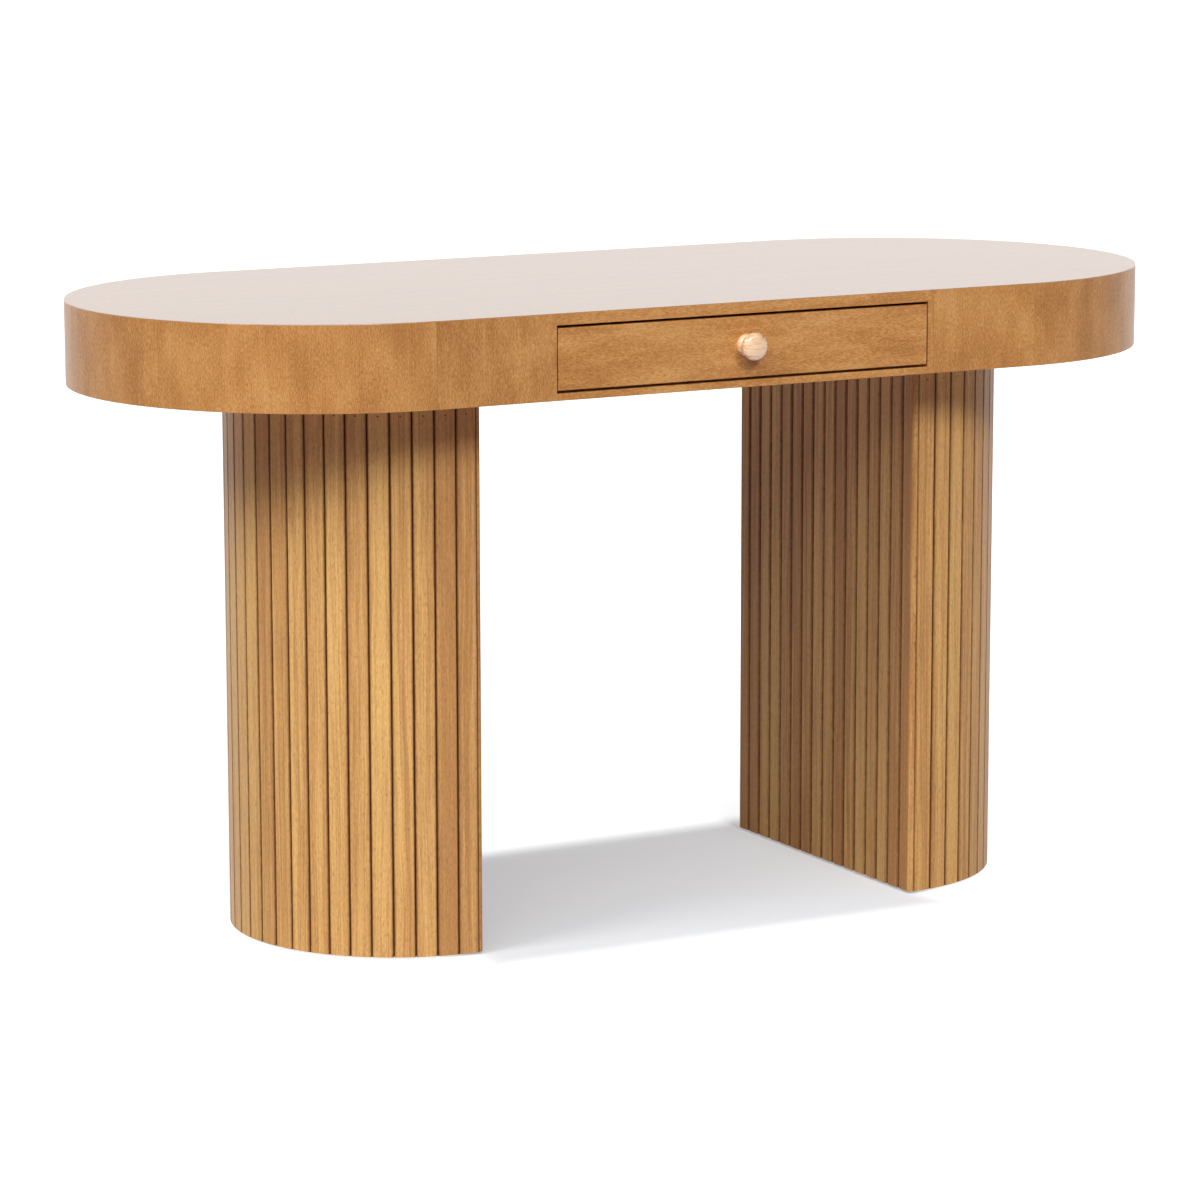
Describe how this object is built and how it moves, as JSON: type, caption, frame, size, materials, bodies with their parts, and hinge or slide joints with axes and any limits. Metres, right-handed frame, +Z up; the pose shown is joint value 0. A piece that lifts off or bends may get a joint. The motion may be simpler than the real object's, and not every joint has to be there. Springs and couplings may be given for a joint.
{
  "type": "console desk",
  "caption": "Console desk with a deep rounded-end top box, an inset drawer with a turned knob, and slatted half-round pedestal legs.",
  "frame": {"origin": "on the floor, under the middle of the box that holds the desk and its knob (the desk's own middle is 12.5 mm behind it)", "axes": "+X to the sitter's right along the desk, -Y towards the sitter (the drawer side), +Z up"},
  "size_m": [1.397, 0.635, 0.762],
  "materials": {
    "top_veneer": "honey-stained veneer, satin lacquer",
    "apron_veneer": "honey-stained veneer, upright grain, satin lacquer",
    "drawer_veneer": "honey-stained veneer, lengthwise grain, satin lacquer",
    "slat_wood": "stained solid slats, satin lacquer",
    "stained_backing": "dark-stained board behind the slats",
    "carcase_wood": "unfinished birch plywood and poplar",
    "knob_wood": "turned pale wood, clear lacquer",
    "zinc_steel": "zinc-plated steel",
    "ball_steel": "polished bearing balls",
    "glide_nylon": "brown nylon"
  },
  "bodies": {
    "desk": {"back_panel": "apron_veneer", "base_panel": "carcase_wood", "front_frame": "apron_veneer", "left_apron_end": "apron_veneer", "left_cross_rib": "carcase_wood", "left_leg_board": "carcase_wood", "left_leg_curved_slats": "slat_wood", "left_leg_flat_slats": "slat_wood", "left_leg_foot_rib": "carcase_wood", "left_leg_glides": "glide_nylon", "left_leg_middle_rib": "carcase_wood", "left_leg_panel": "stained_backing", "left_leg_posts": "carcase_wood", "left_leg_shell": "stained_backing", "left_leg_top_plate": "carcase_wood", "left_runner_board": "carcase_wood", "left_slide_cabinet_member": "zinc_steel", "leg_bolts": "zinc_steel", "leg_inserts": "zinc_steel", "leg_washers": "zinc_steel", "right_apron_end": "apron_veneer", "right_cross_rib": "carcase_wood", "right_leg_board": "carcase_wood", "right_leg_curved_slats": "slat_wood", "right_leg_flat_slats": "slat_wood", "right_leg_foot_rib": "carcase_wood", "right_leg_glides": "glide_nylon", "right_leg_middle_rib": "carcase_wood", "right_leg_panel": "stained_backing", "right_leg_posts": "carcase_wood", "right_leg_shell": "stained_backing", "right_leg_top_plate": "carcase_wood", "right_runner_board": "carcase_wood", "right_slide_cabinet_member": "zinc_steel", "top_panel": "top_veneer"},
    "drawer": {"drawer_front": "drawer_veneer", "drawer_box_front": "carcase_wood", "drawer_box_back": "carcase_wood", "left_drawer_side": "carcase_wood", "right_drawer_side": "carcase_wood", "drawer_bottom": "carcase_wood", "left_slide_drawer_member": "zinc_steel", "right_slide_drawer_member": "zinc_steel", "knob": "knob_wood", "knob_screw": "zinc_steel"},
    "left_ball_cage": {"left_slide_ball_cage": "zinc_steel", "left_slide_balls": "ball_steel"},
    "right_ball_cage": {"right_slide_ball_cage": "zinc_steel", "right_slide_balls": "ball_steel"}
  },
  "joints": [
    {"name": "drawer_slide", "type": "slide", "parent": "desk", "child": "drawer", "axis": [0, -1, 0], "range_m": [0, 0.26]},
    {"name": "left_cage_slide", "type": "slide", "parent": "desk", "child": "left_ball_cage", "axis": [0, -1, 0], "range_m": [0, 0.13]},
    {"name": "right_cage_slide", "type": "slide", "parent": "desk", "child": "right_ball_cage", "axis": [0, -1, 0], "range_m": [0, 0.13]}
  ],
  "couplings": [
    {"joint": "left_cage_slide", "follows": "drawer_slide", "ratio": 0.5},
    {"joint": "right_cage_slide", "follows": "drawer_slide", "ratio": 0.5}
  ]
}
